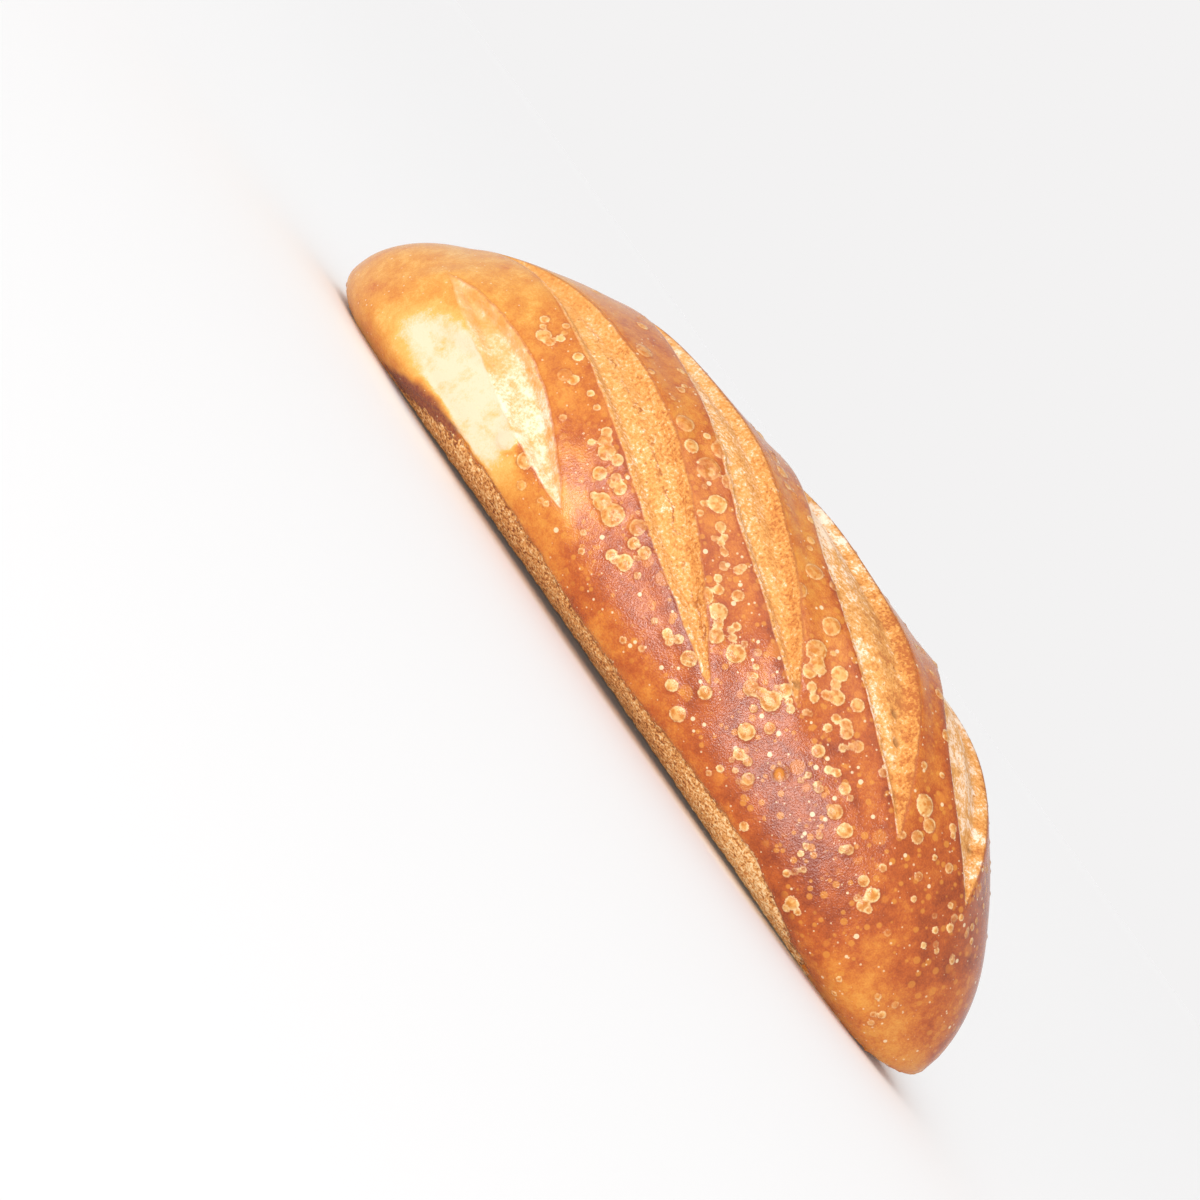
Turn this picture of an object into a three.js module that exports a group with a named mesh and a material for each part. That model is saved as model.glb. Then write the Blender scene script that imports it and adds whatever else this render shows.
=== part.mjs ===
// A vienna loaf: one baked loaf with five long slashes, resting on its flat base.
// Millimetres, +Z up. X runs along the loaf, and the slashes open towards -Y.
// The origin is under the middle of the loaf, on the surface that it rests on.
import * as THREE from 'three';

// Overall size, before the relief of the crust.
const LENGTH = 285;
const WIDTH = 106;
const HEIGHT = 78.3;
const WIDEST_AT = 28;

// The ridge is highest past the middle, as a share of the half length, and sags away from there.
const RIDGE_PEAK = 0.28;
const RIDGE_SAG = 0.16;

// How each end closes: height of the tip, powers of the ridge's and the plan's outline,
// and the share of the half length at which the flat base starts to lift.
const HIGH_END = { tip: 9, ridge: [2.93, 0.55], plan: [2.4, 0.6], lift: 0.84 };
const LOW_END = { tip: 9, ridge: [3.87, 0.565], plan: [2.6, 0.56], lift: 0.835 };

// The section is a superellipse above its widest height and a squarer one below,
// cut off by the flat base at one part in BASE_CUT of its depth.
const TOP_POWER = 2.15;
const FLANK_POWER = 3.4;
const BASE_CUT = 1.08;

// Slashes, by their start and end as [x, way round the crust from the ridge], with the
// way round negative on the -Y side. Bow is how far the middle lies off the straight line.
const SLASHES = [
  { start: [-113, -40], end: [-32, -87], halfWidth: 6.0, bow: 3 },
  { start: [-118, -14], end: [32, -84], halfWidth: 7.6, bow: 3 },
  { start: [-92, 8], end: [50, -66], halfWidth: 8.3, bow: 3.5 },
  { start: [-38, 22], end: [91, -48], halfWidth: 12.8, bow: 8 },
  { start: [45, 25], end: [114, -24], halfWidth: 14.7, bow: 8 },
];
// A slash opens from nothing to its full width just past its middle and closes again.
const OPENING_POWER = 1.1;
const OPENING_SCALE = 4.28;
// Its wall drops over a short way to a floor that swells in the middle, and its lips stand up.
const SLASH_DEPTH = 3.2;
const SLASH_WALL = 3.5;
const SLASH_SWELL = 1.3;
const LIP_RISE = 0.7;
const LIP_REACH = 5;

// Low torn patch where this loaf baked against its neighbour, with its rim as shares of its size.
const PATCH = { centre: [-80, -77], halfLength: 29, halfWidth: 10, turn: -0.48, depth: 1.8 };
const PATCH_RIM = [0.6, 1.15];

// The top crust overhangs the rough base skin along a crease that rises from the base
// near the low end and sinks back to it towards the high end.
const CREASE_HEIGHT = 8.5;
const CREASE_RISE = [-110, -68];
const CREASE_FADE = [70, 114];
const CREASE_STEP = 1.4;
const CREASE_REACH = 14;

// Gentle unevenness of the dough: height, wavelengths along and round, and phase of each wave.
const SWELLS = [
  { height: 1.0, along: 135, round: 210, phase: 4.4 },
  { height: 0.5, along: 74, round: -110, phase: 1.8 },
];
// The relief dies away towards the tips, over this share of the half length.
const TIP_FADE = [0.84, 0.97];

// Steps of the mesh.
const STATIONS = 104;
const CRUST_STEPS = 48;
const BASE_STEPS = 5;
const OUTLINE_STEPS = 36;

const { smoothstep, clamp } = THREE.MathUtils;

function endOf(share) {
  return share > 0 ? HIGH_END : LOW_END;
}

function fall(share, [power, root]) {
  return Math.max(1 - Math.abs(share) ** power, 0) ** root;
}

// Sizes of the section at one place, given as a share of the half length from -1 to 1.
function stationSizes(share) {
  const end = endOf(share);
  const peak = HEIGHT * (1 - RIDGE_SAG * (share - RIDGE_PEAK) ** 2);
  const lifted = clamp((Math.abs(share) - end.lift) / (1 - end.lift), 0, 1);
  return {
    top: end.tip + (peak - end.tip) * fall(share, end.ridge),
    bottom: end.tip * (1 - Math.sqrt(1 - lifted ** 2)),
    halfWidth: (WIDTH / 2) * fall(share, end.plan),
    widest: end.tip + (WIDEST_AT - end.tip) * Math.sqrt(Math.max(1 - share ** 2, 0)),
  };
}

// One side of the section as [y, z] points, from the edge of the flat base up to the ridge.
function sideOutline({ top, bottom, halfWidth, widest }) {
  const points = [];
  const baseAngle = Math.asin((1 / BASE_CUT) ** (FLANK_POWER / 2));
  for (let step = 0; step < OUTLINE_STEPS; step += 1) {
    const angle = baseAngle * (1 - step / OUTLINE_STEPS);
    const depth = (widest - bottom) * BASE_CUT * Math.sin(angle) ** (2 / FLANK_POWER);
    points.push([halfWidth * Math.cos(angle) ** (2 / FLANK_POWER), widest - depth]);
  }
  for (let step = 0; step < OUTLINE_STEPS; step += 1) {
    const angle = (Math.PI / 2) * (step / OUTLINE_STEPS);
    const rise = (top - widest) * Math.sin(angle) ** (2 / TOP_POWER);
    points.push([halfWidth * Math.cos(angle) ** (2 / TOP_POWER), widest + rise]);
  }
  points.push([0, top]);
  return points;
}

// Evenly spaced points over the crust, from the -Y edge of the base to the +Y edge,
// each with its way round from the ridge.
function crustPoints(sizes) {
  const side = sideOutline(sizes);
  const left = side.map(([y, z]) => new THREE.Vector2(-y, z));
  const right = side.slice(0, -1).reverse().map(([y, z]) => new THREE.Vector2(y, z));
  const outline = new THREE.Path([...left, ...right]);
  const length = outline.getLength();
  return outline.getSpacedPoints(CRUST_STEPS).map((point, step) => ({
    y: point.x,
    z: point.y,
    round: (step / CRUST_STEPS - 0.5) * length,
  }));
}

// Depth of a point inside a slash, in millimetres from its edge; negative outside it.
function depthInSlash(slash, x, round) {
  const start = new THREE.Vector2(...slash.start);
  const run = new THREE.Vector2(...slash.end).sub(start);
  const length = run.length();
  const along = run.divideScalar(length);
  const offset = new THREE.Vector2(x, round).sub(start);
  const share = clamp(offset.dot(along) / length, 0, 1);
  const past = Math.abs(offset.dot(along) - share * length);
  const bow = slash.bow * 4 * share * (1 - share);
  const side = offset.cross(along) - bow;
  const open = OPENING_SCALE * share ** OPENING_POWER * (1 - share);
  return slash.halfWidth * open - Math.hypot(side, past);
}

// The trough of the slashes with its swollen floor, and the raised lips beside it.
function slashRelief(x, round) {
  const depths = SLASHES.map((slash) => depthInSlash(slash, x, round));
  const inside = Math.max(...depths);
  const nearest = SLASHES[depths.indexOf(inside)];
  const trough = smoothstep(inside, 0, SLASH_WALL);
  const floor = SLASH_SWELL * clamp(inside / nearest.halfWidth, 0, 1);
  const lip = LIP_RISE * Math.exp(-((Math.min(inside, 0) / LIP_REACH) ** 2)) * (1 - trough);
  return lip - SLASH_DEPTH * trough + floor;
}

function patchRelief(x, round) {
  const offset = new THREE.Vector2(x - PATCH.centre[0], round - PATCH.centre[1]);
  offset.rotateAround(new THREE.Vector2(0, 0), -PATCH.turn);
  const spread = Math.hypot(offset.x / PATCH.halfLength, offset.y / PATCH.halfWidth);
  return -PATCH.depth * (1 - smoothstep(spread, ...PATCH_RIM));
}

// The crust stands out over the base skin just above the crease.
function creaseRelief(x, z) {
  const crease = CREASE_HEIGHT * smoothstep(x, ...CREASE_RISE) * (1 - smoothstep(x, ...CREASE_FADE));
  const above = z - crease;
  return CREASE_STEP * smoothstep(above, -1, 1) * Math.exp(-Math.max(above, 0) / CREASE_REACH);
}

function unevenness(x, round) {
  const turn = 2 * Math.PI;
  return SWELLS.reduce((sum, { height, along, round: wave, phase }) => (
    sum + height * Math.sin((turn * x) / along + (turn * round) / wave + phase)
  ), 0);
}

function crustRelief(x, round, z) {
  const share = Math.abs(2 * x) / LENGTH;
  const settled = smoothstep(z, 0, CREASE_HEIGHT) * (1 - smoothstep(share, ...TIP_FADE));
  return slashRelief(x, round) + patchRelief(x, round)
    + (creaseRelief(x, z) + unevenness(x, round)) * settled;
}

// One closed ring of points round the loaf: over the crust, then back under the flat base.
function sectionRing(share) {
  const sizes = stationSizes(share);
  const x = (share * LENGTH) / 2;
  const crust = crustPoints(sizes);
  const ring = crust.map(({ y, z, round }, step) => {
    const onEdge = step === 0 || step === CRUST_STEPS;
    return { position: new THREE.Vector3(x, y, z), relief: onEdge ? 0 : crustRelief(x, round, z) };
  });
  const edge = crust[CRUST_STEPS].y;
  for (let step = 1; step < BASE_STEPS; step += 1) {
    const y = THREE.MathUtils.lerp(edge, -edge, step / BASE_STEPS);
    ring.push({ position: new THREE.Vector3(x, y, sizes.bottom), relief: 0 });
  }
  return ring;
}

// The smooth loaf as rings between two tips. Quads are split along the run of the slashes.
function smoothLoaf() {
  const count = CRUST_STEPS + BASE_STEPS;
  const vertices = [{ position: new THREE.Vector3(-LENGTH / 2, 0, LOW_END.tip), relief: 0 }];
  for (let station = 1; station < STATIONS; station += 1) {
    const share = Math.sin(Math.PI * (station / STATIONS - 0.5));
    vertices.push(...sectionRing(share));
  }
  vertices.push({ position: new THREE.Vector3(LENGTH / 2, 0, HIGH_END.tip), relief: 0 });

  const faces = [];
  const rings = STATIONS - 1;
  const at = (ring, step) => 1 + ring * count + (step % count);
  for (let step = 0; step < count; step += 1) {
    faces.push(0, at(0, step), at(0, step + 1));
    for (let ring = 0; ring < rings - 1; ring += 1) {
      faces.push(at(ring, step), at(ring + 1, step), at(ring, step + 1));
      faces.push(at(ring + 1, step), at(ring + 1, step + 1), at(ring, step + 1));
    }
    faces.push(vertices.length - 1, at(rings - 1, step + 1), at(rings - 1, step));
  }
  return { vertices, faces };
}

// The finished crust: every point of the smooth loaf moved along its normal by its relief,
// then centred over the origin.
function loafGeometry() {
  const { vertices, faces } = smoothLoaf();
  const geometry = new THREE.BufferGeometry().setFromPoints(vertices.map(({ position }) => position));
  geometry.setIndex(faces);
  geometry.computeVertexNormals();

  const positions = geometry.getAttribute('position');
  const normal = new THREE.Vector3();
  vertices.forEach(({ position, relief }, index) => {
    normal.fromBufferAttribute(geometry.getAttribute('normal'), index);
    position.addScaledVector(normal, relief);
    positions.setXYZ(index, ...position);
  });
  geometry.computeBoundingBox();
  const { min, max } = geometry.boundingBox;
  geometry.translate(-(min.x + max.x) / 2, -(min.y + max.y) / 2, -min.z);
  geometry.computeVertexNormals();
  return geometry;
}

const crust = new THREE.MeshStandardMaterial({ color: 0xdf9650, roughness: 0.5, metalness: 0 });
const loaf = new THREE.Mesh(loafGeometry(), crust);
loaf.name = 'loaf';

const group = new THREE.Group();
group.add(loaf);

export default group;
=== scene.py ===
import math

import bpy
import numpy as np
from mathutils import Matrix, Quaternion, Vector, kdtree, noise


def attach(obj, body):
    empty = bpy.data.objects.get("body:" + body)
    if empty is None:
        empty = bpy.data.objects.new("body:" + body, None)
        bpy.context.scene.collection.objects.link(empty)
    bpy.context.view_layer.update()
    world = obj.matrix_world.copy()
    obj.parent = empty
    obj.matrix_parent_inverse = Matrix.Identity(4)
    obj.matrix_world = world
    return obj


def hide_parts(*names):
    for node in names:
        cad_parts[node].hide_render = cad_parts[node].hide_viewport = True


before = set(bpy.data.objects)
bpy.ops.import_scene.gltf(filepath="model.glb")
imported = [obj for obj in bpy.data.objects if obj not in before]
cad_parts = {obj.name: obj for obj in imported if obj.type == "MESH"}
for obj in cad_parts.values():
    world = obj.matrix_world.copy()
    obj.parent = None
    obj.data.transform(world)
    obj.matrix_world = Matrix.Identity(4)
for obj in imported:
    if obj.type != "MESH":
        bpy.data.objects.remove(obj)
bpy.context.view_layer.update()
bpy.ops.object.select_all(action="DESELECT")


# Camera
# A long lens just above the level of the table, off to the right of the loaf's side, and
# rolled over so that the loaf runs from the upper left of the picture to the lower right.
MIDDLE = Vector((0, 0, 0.035))
CAMERA_AZIMUTH = math.radians(12)
CAMERA_ELEVATION = math.radians(3)
CAMERA_DISTANCE = 0.88
CAMERA_ROLL = math.radians(54)
AIM_LEFT = 0.0177
AIM_DOWN = 0.024
LENS = 92.94
SENSOR_WIDTH = 36


def away_from_loaf(azimuth, elevation):
    """Unit vector away from the middle of the loaf. Azimuth 0 is straight out from its -Y side."""
    return Vector((
        math.sin(azimuth) * math.cos(elevation),
        -math.cos(azimuth) * math.cos(elevation),
        math.sin(elevation),
    ))


back = away_from_loaf(CAMERA_AZIMUTH, CAMERA_ELEVATION)
level = Vector((math.cos(CAMERA_AZIMUTH), math.sin(CAMERA_AZIMUTH), 0))
aim = MIDDLE - level * AIM_LEFT - back.cross(level) * AIM_DOWN
bpy.ops.object.camera_add(location=MIDDLE + back * CAMERA_DISTANCE)
camera = bpy.context.object
camera.name = "table_camera"
camera.rotation_mode = "QUATERNION"
facing = (aim - camera.location).to_track_quat("-Z", "Y")
camera.rotation_quaternion = facing @ Quaternion((0, 0, 1), CAMERA_ROLL)
camera.data.sensor_width = SENSOR_WIDTH
camera.data.lens = LENS
bpy.context.scene.camera = camera
bpy.context.scene.view_settings.view_transform = "Standard"


# Floor
# A wide table top under plain undyed cotton cloth, drawn tight. It only carries the loaf and
# gives back the light from below.
FLOOR_SIZE = 40
CLOTH_WHITE = "f9f9f9"


def linear(colour):
    """An sRGB hex colour as linear red, green, blue and alpha."""
    parts = [int(colour[at:at + 2], 16) / 255 for at in (0, 2, 4)]
    return [p / 12.92 if p <= 0.04045 else ((p + 0.055) / 1.055) ** 2.4 for p in parts] + [1]


def add(tree, kind, settings=None, links=None):
    """Adds a shader node, gives it its settings and links its inputs."""
    node = tree.nodes.new("ShaderNode" + kind)
    for name, value in (settings or {}).items():
        if name == "stops":
            stops = node.color_ramp.elements
            while len(stops) < len(value):
                stops.new(0.5)
            for stop, (place, colour) in zip(stops, value):
                stop.position = place
                stop.color = linear(colour) if isinstance(colour, str) else [colour] * 3 + [1]
        elif isinstance(name, str) and hasattr(node, name):
            setattr(node, name, value)
        else:
            node.inputs[name].default_value = value
    for name, source in (links or {}).items():
        tree.links.new(source, node.inputs[name])
    return node


bpy.ops.mesh.primitive_plane_add(size=FLOOR_SIZE)
floor = bpy.context.object
floor.name = "cloth_floor"
cotton = bpy.data.materials.new("plain_cotton")
cotton.use_nodes = True
tree = cotton.node_tree
shader = tree.nodes["Principled BSDF"]
shader.inputs["Base Color"].default_value = linear(CLOTH_WHITE)
shader.inputs["Roughness"].default_value = 0.95
shader.inputs["Specular IOR Level"].default_value = 0.1
floor.data.materials.append(cotton)


# Lights
# A bright room with a dimmer ceiling, a soft lamp above the front of the table, and a large
# soft box behind the camera, whose reflection is the broad sheen along the side of the loaf.
ROOM_WHITE = "f3f2f2"
CEILING_SHARE = 0.55
CEILING_FROM = 0.6
LAMP_STRENGTH = 0.75
LAMP_WIDTH = math.radians(50)
LAMP_FACING = Vector((0.2, 0.7, -1.0))
BOX_AZIMUTH = math.radians(-1.5)
BOX_ELEVATION = math.radians(3.1)
BOX_DISTANCE = 2.2
BOX_ROLL = math.radians(5)
BOX_WIDTH = 1.68
BOX_HEIGHT = 0.18
BOX_POWER = 39.4

world = bpy.data.worlds.new("bright_room")
bpy.context.scene.world = world
world.use_nodes = True
room = world.node_tree.nodes["Background"]
room.inputs["Color"].default_value = linear(ROOM_WHITE)
direction = add(world.node_tree, "TexCoord").outputs["Generated"]
upwards = add(world.node_tree, "SeparateXYZ", {}, {"Vector": direction})
ceiling = add(world.node_tree, "MapRange",
              {"From Min": CEILING_FROM, "To Min": 1.0, "To Max": CEILING_SHARE},
              {"Value": upwards.outputs["Z"]})
world.node_tree.links.new(ceiling.outputs["Result"], room.inputs["Strength"])

bpy.ops.object.light_add(type="SUN")
overhead = bpy.context.object
overhead.name = "overhead_lamp"
overhead.data.energy = LAMP_STRENGTH
overhead.data.angle = LAMP_WIDTH
overhead.rotation_mode = "QUATERNION"
overhead.rotation_quaternion = LAMP_FACING.to_track_quat("-Z", "Y")

bpy.ops.object.light_add(type="AREA")
soft_box = bpy.context.object
soft_box.name = "soft_box"
soft_box.data.shape = "RECTANGLE"
soft_box.data.size = BOX_WIDTH
soft_box.data.size_y = BOX_HEIGHT
soft_box.data.energy = BOX_POWER
towards_box = away_from_loaf(BOX_AZIMUTH, BOX_ELEVATION)
soft_box.location = MIDDLE + towards_box * BOX_DISTANCE
soft_box.rotation_mode = "QUATERNION"
upright = (-towards_box).to_track_quat("-Z", "Y")
soft_box.rotation_quaternion = upright @ Quaternion((0, 0, 1), BOX_ROLL)


# The loaf
# One vienna loaf of white wheat dough, cut five times on the slant and baked on stone with steam.
# Its crust is thin, smooth and blistered, the cuts opened pale, and the skin of its base is rough.
# A cream patch low on one side was sheltered from the heat and tore. Sizes are in millimetres.
MM_PER_METRE = 1000
LENGTH = 285.0
WIDTH = 106.0
HEIGHT = 78.3
WIDEST_AT = 28.0
RIDGE_PEAK = 0.28
RIDGE_SAG = 0.16
HIGH_END = {"tip": 9.0, "ridge": (2.93, 0.55), "plan": (2.4, 0.6), "lift": 0.84}
LOW_END = {"tip": 9.0, "ridge": (3.87, 0.565), "plan": (2.6, 0.56), "lift": 0.835}
TOP_POWER = 2.15
FLANK_POWER = 3.4
BASE_CUT = 1.08
BASE_ARCH = 1.8
ARCH_REACH = 0.75

# Start and end of each cut as (along the loaf, way round from the ridge), its shape, how floury
# its face is at the start and at the end, how much paler on its low side and on its high side,
# partly flour and partly painted light (a lift on the shaded low wall, shade on the lit high
# wall), and how much of a broken crack, of lumps and of pores it has.
SLASHES = [
    {"start": (-113, -40), "end": (-32, -87), "half_width": 6.0, "bow": 3.0,
     "flour": (0.68, 0.88, 0.0, 0.05), "crack": 0.0, "lumps": 0.16, "pores": 0.5},
    {"start": (-118, -14), "end": (32, -84), "half_width": 7.6, "bow": 3.0,
     "flour": (0.58, 0.49, 0.1, 0.0), "crack": 0.9, "lumps": 0.12, "pores": 1.4},
    {"start": (-92, 8), "end": (50, -66), "half_width": 8.3, "bow": 3.5,
     "flour": (0.85, 0.52, 0.2, 0.0), "crack": 0.3, "lumps": 0.16, "pores": 1.3},
    {"start": (-38, 22), "end": (91, -48), "half_width": 12.8, "bow": 8.0,
     "flour": (1.3, 0.42, 0.4, -0.12), "crack": 0.3, "lumps": 0.42, "pores": 1.3},
    {"start": (45, 25), "end": (114, -24), "half_width": 14.7, "bow": 8.0,
     "flour": (0.92, 0.76, 0.15, 0.0), "crack": 0.0, "lumps": 0.42, "pores": 1.1},
]
OPENING_POWER = 1.1
OPENING_SCALE = 4.28
SLASH_DEPTH = 3.2
SLASH_WALL = 3.5
SLASH_SWELL = 1.3
LIP_RISE = 0.7
LIP_REACH = 5.0

PATCH_CENTRE = (-80.0, -77.0)
PATCH_HALF_SIZE = (29.0, 10.0)
PATCH_TURN = -0.48
PATCH_DEPTH = 1.8
PATCH_RIM = (0.6, 1.15)
CREAM_OVAL = ((-80.0, -76.5), (31.0, 10.5), -0.57)

CREASE_HEIGHT = 8.5
CREASE_FADE = (70.0, 114.0)
CREASE_START = (-110, -68)
CREASE_STEP = 1.4
CREASE_REACH = 14.0
CREASE_GROOVE = 0.5
GROOVE_WIDTH = 1.1
GROOVE_FROM = 1.0
BARE_START = (-104, -55)
GRAINS_FROM = 0.6
CRUSTED_ENDS = (112, 124)
UNDER_BARE = -9
UNDER_CRUSTED = 3
BURNT_HEIGHT = 8.6
BURNT_START = (-114, -100)
BURNT_END = (-72, -69)
HALO_END = (-78, -68)
SWELLS = [(1.0, 135.0, 210.0, 4.4), (0.5, 74.0, -110.0, 1.8)]
TIP_FADE = (0.84, 0.97)

# The largest blisters: place along and way round, radius, and how pale.
BLISTERS = [
    (-61, -32, 2.7, 0.3), (-79, -50, 2.3, 0.8), (-50, -84, 2.4, 0.9), (-38, -67, 2.4, 0.7),
    (-28, -77, 2.6, 0.7), (-23, -77, 3.2, 0.75), (-16, -74, 2.3, 0.4), (-34, -44, 2.9, 0.4),
    (-28, -48, 2.2, 0.9), (-23, -40, 3.8, 0.4), (-20, -48, 3.5, 0.25), (-14, -45, 2.7, 0.5),
    (-10, -53, 2.8, 1), (-10, -83, 2.3, 1), (22, -84, 2.3, 0.7), (10, -72, 2.7, 1),
    (16, -71, 2.6, 0.9), (21, -75, 2.3, 0.8), (28, -73, 2.7, 0.8), (19, -39, 2.8, 0.5),
    (22, -48, 2.5, 0.45), (34, -45, 2.9, 0.6), (38, -53, 3.1, 0.7), (47, -50, 2.4, 0.9),
    (52, -54, 2.4, 0.9), (43, -71, 2.8, 0.9), (37, -74, 2.3, 0.5), (46, -81, 2.4, 0.9),
    (60, -77, 2.5, 0.1), (87, -38, 3.1, 0.85), (99, -57, 2.0, 1), (89, -82, 2.1, 0.9),
]
# Groups of middling blisters: centre along and way round, half length, half width, and count.
BLISTER_GROUPS = [
    (-74, -48, 8, 5, 5), (-60, -55, 9, 5, 5), (-42, -66, 9, 7, 10), (-26, -74, 8, 5, 5),
    (-24, -46, 8, 5, 5), (-8, -80, 6, 5, 4), (-4, -56, 7, 4, 5), (9, -63, 7, 5, 7),
    (20, -69, 9, 5, 9), (22, -89, 12, 6, 8), (46, -70, 8, 6, 9), (57, -88, 9, 4, 5),
    (36, -56, 8, 4, 6), (50, -54, 8, 6, 9), (68, -68, 9, 5, 5), (66, -58, 8, 5, 6),
    (80, -60, 8, 6, 6), (90, -40, 7, 5, 5), (97, -56, 6, 5, 3), (85, -84, 7, 4, 3),
]
MIDDLING_RADIUS = 1.1
MIDDLING_SPREAD = 1.1
MIDDLING_PALE = (0.45, 1)
# Small blisters: few and tiny on the front, where the others have their places, tiny at both
# ends, and none at the near tip.
BLISTER_COUNT = 430
BLISTER_SEED = 12
SMALL_RADIUS = 0.95
SMALL_SPREAD = 1.7
TINY_SPREAD = 0.5
SMALL_PALE_LEAST = 0.15
SMALL_PALE_SPREAD = 0.7
FRONT_SHARE = 0.5
FRONT_ALONG = (-60, 110)
FRONT_ROUND = (-100, -36)
SMALL_ALONG = (-80, 92)
LAST_BLISTER = 126
BLISTER_RISE = 0.15
BLISTER_BULGE = 0.17
BLISTER_LUMPS = 0.16
BLISTER_FOOT_REACH = 2.5

# Torn flap at the corner of the patch, and the faint tail in which the first cut runs out.
FLAP = (-58, -83, 3.3)
FLAP_RISE = 0.5
TAIL_START = (-36, -84)
TAIL_END = (-17, -92)
# Open cells: place along and way round, radius, and stretch along the loaf.
OPEN_CELLS = [
    (60, -77, 1.9, 1.0), (43, -62.6, 1.1, 2.2), (63, -36, 1.3, 1.2), (70, -39, 1.4, 1.2),
    (52, -27, 1.0, 1.0), (103, -15, 1.1, 1.0),
]
CELL_DEPTH = 1.0
# Spots that baked darker: centre along and way round, reach along and way round, and how much.
DARKER_SPOTS = [(-45, -64, 12, 12, 0.08), (-18, -50, 14, 10, 0.06), (-38, -72, 9, 8, 0.2)]

RINGS = 330
SEGMENTS = 300
BASE_STEPS = 20
CRUST_STEPS = SEGMENTS - BASE_STEPS
OUTLINE_STEPS = 60
END_CROWDING = 0.25
FAR_OUTSIDE = -6.0


def smooth(value, low, high):
    """Rises softly from 0 at the low value to 1 at the high one."""
    share = np.clip((value - low) / (high - low), 0, 1)
    return share * share * (3 - 2 * share)


def between(value, rise, fall):
    """1 from the end of the rise to the start of the fall, and 0 outside them."""
    return smooth(value, *rise) * (1 - smooth(value, *fall))


def side_outline(top, bottom, half_width, widest):
    """One side of a section, from the edge of the base up to the ridge, as y and z."""
    base_angle = math.asin((1 / BASE_CUT) ** (FLANK_POWER / 2))
    flank = base_angle * np.linspace(1, 0, OUTLINE_STEPS + 1)[:-1]
    upper = math.pi / 2 * np.linspace(0, 1, OUTLINE_STEPS + 1)
    y = [half_width * np.cos(flank) ** (2 / FLANK_POWER),
         half_width * np.clip(np.cos(upper), 0, 1) ** (2 / TOP_POWER)]
    z = [widest - (widest - bottom) * BASE_CUT * np.sin(flank) ** (2 / FLANK_POWER),
         widest + (top - widest) * np.sin(upper) ** (2 / TOP_POWER)]
    return np.concatenate(y), np.concatenate(z)


def section_ring(share):
    """Points round the loaf at a share of its half length, and their way round the crust."""
    end = HIGH_END if share > 0 else LOW_END
    distance = abs(share)
    ridge_fall = (1 - distance ** end["ridge"][0]) ** end["ridge"][1]
    plan_fall = (1 - distance ** end["plan"][0]) ** end["plan"][1]
    peak = HEIGHT * (1 - RIDGE_SAG * (share - RIDGE_PEAK) ** 2)
    lifted = np.clip((distance - end["lift"]) / (1 - end["lift"]), 0, 1)
    bottom = end["tip"] * (1 - math.sqrt(1 - lifted ** 2))
    bottom += BASE_ARCH * max(1 - (share / ARCH_REACH) ** 2, 0)
    widest = end["tip"] + (WIDEST_AT - end["tip"]) * math.sqrt(1 - share ** 2)
    side_y, side_z = side_outline(
        end["tip"] + (peak - end["tip"]) * ridge_fall, bottom, WIDTH / 2 * plan_fall, widest)
    outline_y = np.concatenate([side_y, -side_y[-2::-1]])
    outline_z = np.concatenate([side_z, side_z[-2::-1]])
    steps = np.hypot(np.diff(outline_y), np.diff(outline_z))
    along = np.concatenate([[0], np.cumsum(steps)])
    places = np.linspace(0, along[-1], CRUST_STEPS + 1)
    base = np.linspace(-side_y[0], side_y[0], BASE_STEPS + 1)[1:-1]
    y = np.concatenate([np.interp(places, along, outline_y), base])
    z = np.concatenate([np.interp(places, along, outline_z), np.full(base.size, bottom)])
    way_round = np.concatenate([along[-1] / 2 - places, np.full(base.size, -along[-1] / 2)])
    return y, z, way_round


bpy.ops.mesh.primitive_uv_sphere_add(segments=SEGMENTS, ring_count=RINGS, radius=1)
loaf = bpy.context.object
loaf.name = "baked_loaf"
sphere = np.empty(len(loaf.data.vertices) * 3)
loaf.data.vertices.foreach_get("co", sphere)
sphere = sphere.reshape(-1, 3)
ring_of = np.rint((0.5 + np.arcsin(np.clip(sphere[:, 2], -1, 1)) / math.pi) * RINGS).astype(int)
segment_of = np.rint(np.arctan2(sphere[:, 1], sphere[:, 0]) / (2 * math.pi) * SEGMENTS)
segment_of = segment_of.astype(int) % SEGMENTS

ring_places = np.linspace(-1, 1, RINGS + 1)[1:-1]
shares = (1 - END_CROWDING) * ring_places + END_CROWDING * np.sin(math.pi / 2 * ring_places)
sections = [section_ring(share) for share in shares]
x = np.repeat((shares * LENGTH / 2)[:, None], SEGMENTS, axis=1)
y = np.array([section[0] for section in sections])
z = np.array([section[1] for section in sections])
way_round = np.array([section[2] for section in sections])
surface = np.stack([x, y, z], axis=-1)


def outward(points):
    """Normals of the closed rings of points."""
    lengthwise = np.gradient(points, axis=0)
    crosswise = np.roll(points, -1, axis=1) - np.roll(points, 1, axis=1)
    normals = np.cross(crosswise, lengthwise)
    normals /= np.linalg.norm(normals, axis=2, keepdims=True) + 1e-12
    return normals


def rough(size, seed):
    """Soft random unevenness from about -1 to 1, one lump to a size in millimetres."""
    shift = Vector((seed * 3.7, seed * 1.9, seed * 5.3))
    flat = surface.reshape(-1, 3) / size
    lumps = [noise.noise(Vector(point) + shift) for point in flat]
    return np.array(lumps).reshape(x.shape)


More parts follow.
